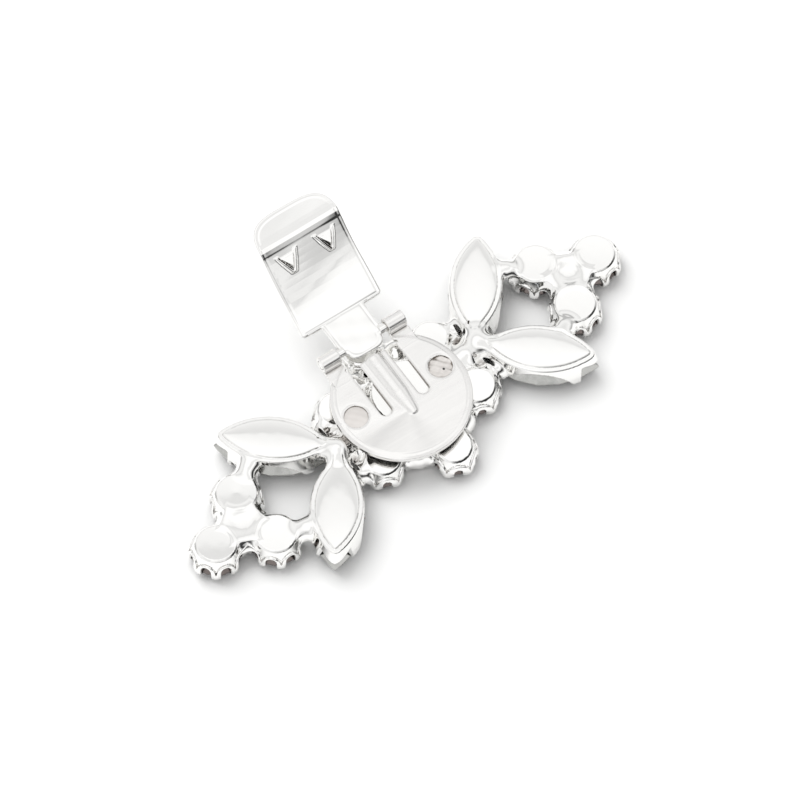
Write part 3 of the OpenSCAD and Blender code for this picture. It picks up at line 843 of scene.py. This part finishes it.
def surface_net(field, shade, low, high, pitch):
    """Vertices and quads of the surface where field is 0, and normals by the field shade."""
    low, high = np.array(low, float), np.array(high, float)
    n = np.ceil((high - low) / pitch).astype(int) + 1
    axes = [low[i] + pitch * np.arange(n[i]) for i in range(3)]
    grid = np.stack(np.meshgrid(*axes, indexing="ij"), -1).reshape(-1, 3)
    value = in_slabs(field, grid).reshape(n)
    inside = value < 0
    count = np.zeros(n - 1, np.uint8)
    for i, j, k in CORNERS:
        count += inside[i:n[0] - 1 + i, j:n[1] - 1 + j, k:n[2] - 1 + k]
    mixed = (count > 0) & (count < 8)
    index = np.full(n - 1, -1)
    index[mixed] = np.arange(mixed.sum())
    cell = np.argwhere(mixed)
    total, hits = np.zeros((len(cell), 3)), np.zeros(len(cell))
    for a, b in EDGES:
        va = value[tuple((cell + a).T)]
        vb = value[tuple((cell + b).T)]
        cross = (va < 0) != (vb < 0)
        t = np.where(cross, va / np.where(cross, va - vb, 1), 0)
        total += (np.array(a) + t[:, None] * (np.array(b) - np.array(a))) * cross[:, None]
        hits += cross
    verts = low + pitch * (cell + total / hits[:, None])
    quads = []
    for axis in range(3):
        first = np.moveaxis(inside, axis, 0)
        ids = np.moveaxis(index, axis, 0)
        at = np.argwhere((first[:-1] != first[1:])[:, 1:-1, 1:-1])
        a, b, d = at[:, 0], at[:, 1] + 1, at[:, 2] + 1
        quad = np.stack([ids[a, b - 1, d - 1], ids[a, b, d - 1], ids[a, b, d], ids[a, b - 1, d]], -1)
        inward = first[a, b, d] == (axis == 1)
        quad[inward] = quad[inward][:, ::-1]
        quads.append(quad)
    quads = np.concatenate(quads)
    for _ in range(PULLS):
        g = gradient(field, verts, pitch * SLOPE_STEP)
        step = in_slabs(field, verts)[:, None] * g / np.clip((g * g).sum(1), FLATTEST, None)[:, None]
        length = np.linalg.norm(step, axis=1)[:, None]
        verts = verts - step * np.minimum(1, pitch * LONGEST_PULL / np.clip(length, 1e-9, None))
    normals = gradient(shade, verts, pitch * NORMAL_STEP)
    normals /= np.clip(np.linalg.norm(normals, axis=1), 1e-9, None)[:, None]
    return verts, quads, normals


def metal_piece(name, field, low, high, pitch, material, body, slot, node, shade=None):
    """One mesh of a field inside a box, put on its body in place of the part node, which is hidden. shade
    is the field for its normals.
    """
    verts, quads, normals = surface_net(field, shade or field, low, high, pitch * COARSE)
    mesh = bpy.data.meshes.new(name)
    mesh.vertices.add(len(verts))
    mesh.vertices.foreach_set("co", (verts * MM).ravel())
    mesh.loops.add(quads.size)
    mesh.loops.foreach_set("vertex_index", quads.ravel())
    mesh.polygons.add(len(quads))
    mesh.polygons.foreach_set("loop_start", np.arange(0, quads.size, 4))
    mesh.polygons.foreach_set("use_smooth", np.ones(len(quads), bool))
    mesh.update()
    mesh.validate()
    mesh.normals_split_custom_set_from_vertices(normals.tolist())
    obj = bpy.data.objects.new(name, mesh)
    bpy.context.scene.collection.objects.link(obj)
    mesh.materials.append(material)
    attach(obj, body)
    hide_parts(node)
    print(name, len(verts), "vertices", len(quads) * 2, "triangles")


# Materials

def new_material(name):
    material = bpy.data.materials.new(name)
    material.use_nodes = True
    tree = material.node_tree
    return material, tree, tree.nodes["Principled BSDF"]


def give(tree, node, inputs):
    """Sets the inputs of a node to values, or links them to outputs of other nodes."""
    for key, value in inputs.items():
        if isinstance(value, bpy.types.NodeSocket):
            tree.links.new(value, node.inputs[key])
        else:
            node.inputs[key].default_value = value


def add(tree, kind, inputs=None, **settings):
    node = tree.nodes.new(kind)
    for key, value in settings.items():
        setattr(node, key, value)
    give(tree, node, inputs or {})
    return node


def ramp(tree, source, stops):
    node = add(tree, "ShaderNodeValToRGB", {"Fac": source})
    elements = node.color_ramp.elements
    while len(elements) < len(stops):
        elements.new(0.5)
    for element, (place, value) in zip(elements, stops):
        element.position = place
        element.color = (*value, 1) if isinstance(value, tuple) else (value, value, value, 1)
    return node.outputs["Color"]


def metal(name, colour, painted_shade_colour, rough, brushed=None, bump=0.05):
    """Polished or brushed metal: uneven roughness, fine scratches, and painted shade that turns the colour
    darker in the hollows.

    rough is the lowest and the highest roughness, and brushed the direction of the strokes and their scale.
    The second colour is that of the painted shade in the hollows.
    """
    material, tree, shader = new_material(name)
    place = add(tree, "ShaderNodeTexCoord").outputs["Object"]
    # Painted shade: the ambient occlusion turns the base colour darker in hollows and creases
    hollow = add(tree, "ShaderNodeAmbientOcclusion", {"Distance": 0.0009})
    turn = add(tree, "ShaderNodeMapping", {"Vector": place})
    if brushed:
        give(tree, turn, {"Rotation": (0, 0, deg(brushed[0])), "Scale": (brushed[1], 1, 1)})
    scratch = add(tree, "ShaderNodeTexNoise", {
        "Vector": turn.outputs["Vector"], "Scale": 900 if brushed else 1500, "Detail": 6, "Roughness": 0.7})
    patches = scratch
    if not brushed:
        patches = add(tree, "ShaderNodeTexNoise", {
            "Vector": place, "Scale": 420, "Detail": 5, "Roughness": 0.6})
    relief = add(tree, "ShaderNodeBump", {
        "Height": scratch.outputs["Fac"], "Strength": bump, "Distance": 0.00004})
    give(tree, shader, {
        "Metallic": 1,
        "Base Color": ramp(tree, hollow.outputs["AO"], [(0.15, painted_shade_colour), (0.75, colour)]),
        "Roughness": ramp(tree, patches.outputs["Fac"], [(0.35, rough[0]), (0.7, rough[1])]),
        "Normal": relief.outputs["Normal"],
    })
    return material


def crystal(name, girdle_z, foil_shade):
    """Cut glass with a foiled back: clear below the height girdle_z, and foil of the tone foil_shade above
    it, which on the round stones is painted dark as shade.
    """
    material, tree, glass = new_material(name)
    give(tree, glass, {
        "Transmission Weight": 1.0, "Roughness": 0.01, "IOR": 1.56, "Base Color": (0.9, 0.92, 0.95, 1)})
    place = add(tree, "ShaderNodeTexCoord").outputs["Object"]
    grain = add(tree, "ShaderNodeTexNoise", {"Vector": place, "Scale": 900, "Detail": 3})
    tones = [(0.35, tuple(0.8 * c for c in foil_shade)), (0.7, foil_shade)]
    foil = add(tree, "ShaderNodeBsdfPrincipled", {
        "Metallic": 1.0,
        "Base Color": ramp(tree, grain.outputs["Fac"], tones),
        "Roughness": ramp(tree, grain.outputs["Fac"], [(0.3, 0.1), (0.7, 0.28)]),
    })
    split = add(tree, "ShaderNodeSeparateXYZ", {"Vector": place})
    above = add(tree, "ShaderNodeMath", {0: split.outputs["Z"], 1: girdle_z * MM}, operation="GREATER_THAN")
    mix = add(tree, "ShaderNodeMixShader", {
        "Fac": above.outputs["Value"], 1: glass.outputs["BSDF"], 2: foil.outputs["BSDF"]})
    give(tree, tree.nodes["Material Output"], {"Surface": mix.outputs["Shader"]})
    return material


SILVER = (0.95, 0.945, 0.93)
# The second colour of each metal is its painted shade in the hollows
setting_metal = metal("silver_setting", SILVER, (0.3, 0.27, 0.25), (0.04, 0.12))
plate_silver = metal("brushed_plate", (0.9, 0.89, 0.875), (0.4, 0.36, 0.33), (0.1, 0.36), (38, 0.06), 0.4)
bare_solder = metal("bare_solder", (0.81, 0.775, 0.745), (0.66, 0.62, 0.58), (0.3, 0.5), bump=0.3)
lever_silver = metal("polished_lever", SILVER, (0.45, 0.42, 0.4), (0.05, 0.11))

# The foil comes down over the girdle by this much
FOIL_LAP = 0.3
MARQUISE_FOIL = (0.6, 0.6, 0.58)
# The round stones' foil is painted dark: painted shade for what is seen through the windows of their cups
PAINTED_SHADE_ROUND_FOIL = (0.22, 0.19, 0.18)


def girdle_height(name):
    """Height of a stone's girdle above its table, by the name of its node."""
    if "centre" in name:
        return CENTRE_CROWN
    return MARQUISE_CROWN if "marquise" in name else ROUND_CROWN


for name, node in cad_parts.items():
    if name == "stone_frame" or not ("stone" in name or "marquise" in name):
        continue
    foil_shade = MARQUISE_FOIL if "marquise" in name else PAINTED_SHADE_ROUND_FOIL
    node.data.materials.clear()
    node.data.materials.append(crystal(f"crystal_{name}", girdle_height(name) - FOIL_LAP, foil_shade))

# Pieces
SETTING_LOW, SETTING_HIGH = 0.3, 6.0
WING_BOX = {
    1: ((10.3, -12.0, SETTING_LOW), (37.0, 16.0, SETTING_HIGH)),
    -1: ((-35.0, -15.5, SETTING_LOW), (-8.6, 12.5, SETTING_HIGH)),
}
SETTING_PITCH = 0.13
MIDDLE_PITCH = 0.145
CLIP_PITCH = 0.1
setting = (setting_metal, "buckle", "setting_metal", "stone_frame", cup_metal)
metal_piece("right_wing_metal", wing_metal(1), *WING_BOX[1], SETTING_PITCH, *setting)
metal_piece("left_wing_metal", wing_metal(-1), *WING_BOX[-1], SETTING_PITCH, *setting)
metal_piece("middle_metal", middle_metal, (-13.0, -13.5, SETTING_LOW), (15.0, 14.1, SETTING_HIGH),
            MIDDLE_PITCH, *setting)
metal_piece("hole_solder", fill_metal, (-8.4, -1.4, 3.8), (8.4, 2.8, 5.9),
            SETTING_PITCH, bare_solder, "buckle", "setting_metal", "stone_frame")
metal_piece("plate_metal", plate_metal, (-9.6, -9.6, 4.6), (9.6, 10.8, 8.2),
            CLIP_PITCH, plate_silver, "buckle", "plate_metal", "clip_plate", plate_shade)
metal_piece("lever_metal", lever_metal, (-6.7, HINGE_Y - 2.6, 5.7), (6.7, HINGE_Y + 18.3, 16.4),
            CLIP_PITCH, lever_silver, "lever", "lever_metal", "clip_lever")

# Stage, light and camera
AIM = Vector((-0.585, -0.521, 6.15)) * MM
DISTANCE = 1.112
LENS = 400
SENSOR_W = 36
FLOOR_HALF_W = 3.0
away = Vector((math.sin(VIEW_TURN), math.cos(VIEW_TURN), 0))
right = Vector((math.cos(VIEW_TURN), -math.sin(VIEW_TURN), 0))
up = Vector((0, 0, 1))


def toward(across, forth, rise):
    """Direction given by the picture: across to its right, forth away from the camera, and upwards."""
    return (right * across + away * forth + up * rise).normalized()


def white_floor():
    mesh = bpy.data.meshes.new("floor")
    r = FLOOR_HALF_W
    mesh.from_pydata([(-r, -r, 0), (r, -r, 0), (r, r, 0), (-r, r, 0)], [], [(0, 1, 2, 3)])
    floor = bpy.data.objects.new("floor", mesh)
    bpy.context.scene.collection.objects.link(floor)
    material, tree, shader = new_material("white_floor")
    give(tree, shader, {"Base Color": (0.93, 0.93, 0.925, 1), "Roughness": 0.7})
    mesh.materials.append(material)


def softbox(name, direction, distance, width, height, radiance):
    light = bpy.data.lights.new(name, "AREA")
    light.shape = "RECTANGLE"
    light.size, light.size_y = width, height
    light.energy = radiance * math.pi * width * height
    lamp = bpy.data.objects.new(name, light)
    lamp.location = AIM + direction * distance
    lamp.rotation_mode = "QUATERNION"
    lamp.rotation_quaternion = direction.to_track_quat("Z", "Y")
    bpy.context.scene.collection.objects.link(lamp)
    return lamp


def by_height(*stops):
    """Ramp stops from pairs of height above the horizon, in degrees, and brightness."""
    return [(math.sin(deg(height)), value) for height, value in stops]


TENT = by_height(
    (0, 0.75), (4, 0.5), (11, 0.46), (17, 0.78), (30, 0.88), (44, 0.8), (52.5, 0.72), (54.5, 0.87),
    (62, 0.95), (72, 1), (90, 1))
TENT_GAP = by_height(
    (0, 0.6), (8, 0.4), (12, 0.07), (24, 0.03), (26, 0.06), (28, 0.5), (30, 0.6), (32.5, 0.62), (34, 0.82),
    (36.5, 0.84), (37.4, 0.6), (38.3, 0.88), (43, 1), (48, 1), (53, 0.82), (70, 0.8), (90, 1))
# The direction of the gap, and the cosines of the angle from it where the gap begins and is full
GAP_SIDE = toward(0.79, -0.61, 0)
GAP_FADE = (0.3, 0.8)
# How much a direction towards the near side counts as height
NEAR_LIFT = 0.3


def studio_world(strength, diffuse_share):
    """White tent: a ramp over the height, and on the near right another one with a dark gap."""
    world = bpy.data.worlds.new("studio")
    world.use_nodes = True
    tree = world.node_tree
    direction = add(tree, "ShaderNodeTexCoord").outputs["Generated"]
    split = add(tree, "ShaderNodeSeparateXYZ", {"Vector": direction})
    level = add(tree, "ShaderNodeCombineXYZ", {"X": split.outputs["X"], "Y": split.outputs["Y"]})
    unit = add(tree, "ShaderNodeVectorMath", {0: level.outputs["Vector"]}, operation="NORMALIZE")
    flat = unit.outputs["Vector"]
    side = add(tree, "ShaderNodeVectorMath", {0: flat, 1: GAP_SIDE}, operation="DOT_PRODUCT")
    share = add(tree, "ShaderNodeMapRange", {
        "Value": side.outputs["Value"], "From Min": GAP_FADE[0], "From Max": GAP_FADE[1],
    }, interpolation_type="SMOOTHSTEP")
    near = add(tree, "ShaderNodeVectorMath", {0: direction, 1: toward(0, -1, 0)}, operation="DOT_PRODUCT")
    only_near = add(tree, "ShaderNodeMath", {0: near.outputs["Value"], 1: 0}, operation="MAXIMUM")
    height = add(tree, "ShaderNodeMath", {
        0: only_near.outputs["Value"], 1: NEAR_LIFT, 2: split.outputs["Z"],
    }, operation="MULTIPLY_ADD")
    mix = add(tree, "ShaderNodeMixRGB", {
        "Fac": share.outputs["Result"],
        "Color1": ramp(tree, height.outputs["Value"], TENT),
        "Color2": ramp(tree, split.outputs["Z"], TENT_GAP),
    })
    path = add(tree, "ShaderNodeLightPath")
    power = add(tree, "ShaderNodeMapRange", {
        "Value": path.outputs["Is Diffuse Ray"], "To Min": strength, "To Max": strength * diffuse_share})
    give(tree, tree.nodes["Background"], {
        "Color": mix.outputs["Color"], "Strength": power.outputs["Result"]})
    bpy.context.scene.world = world


white_floor()
studio_world(strength=1.1, diffuse_share=0.86)
key = softbox("key", toward(-0.42, 0.4, 0.95), distance=0.9, width=0.75, height=0.7, radiance=3.2)
key.visible_glossy = False

camera = bpy.data.cameras.new("camera")
camera.lens, camera.sensor_width = LENS, SENSOR_W
camera.clip_start, camera.clip_end = 0.01, 20
cam = bpy.data.objects.new("camera", camera)
back = toward(0, -math.cos(VIEW_RISE), math.sin(VIEW_RISE))
cam.location = AIM + back * DISTANCE
cam.rotation_mode = "QUATERNION"
cam.rotation_quaternion = (-back).to_track_quat("-Z", "Y")
bpy.context.scene.collection.objects.link(cam)
bpy.context.scene.camera = cam
bpy.context.scene.view_settings.view_transform = "Standard"
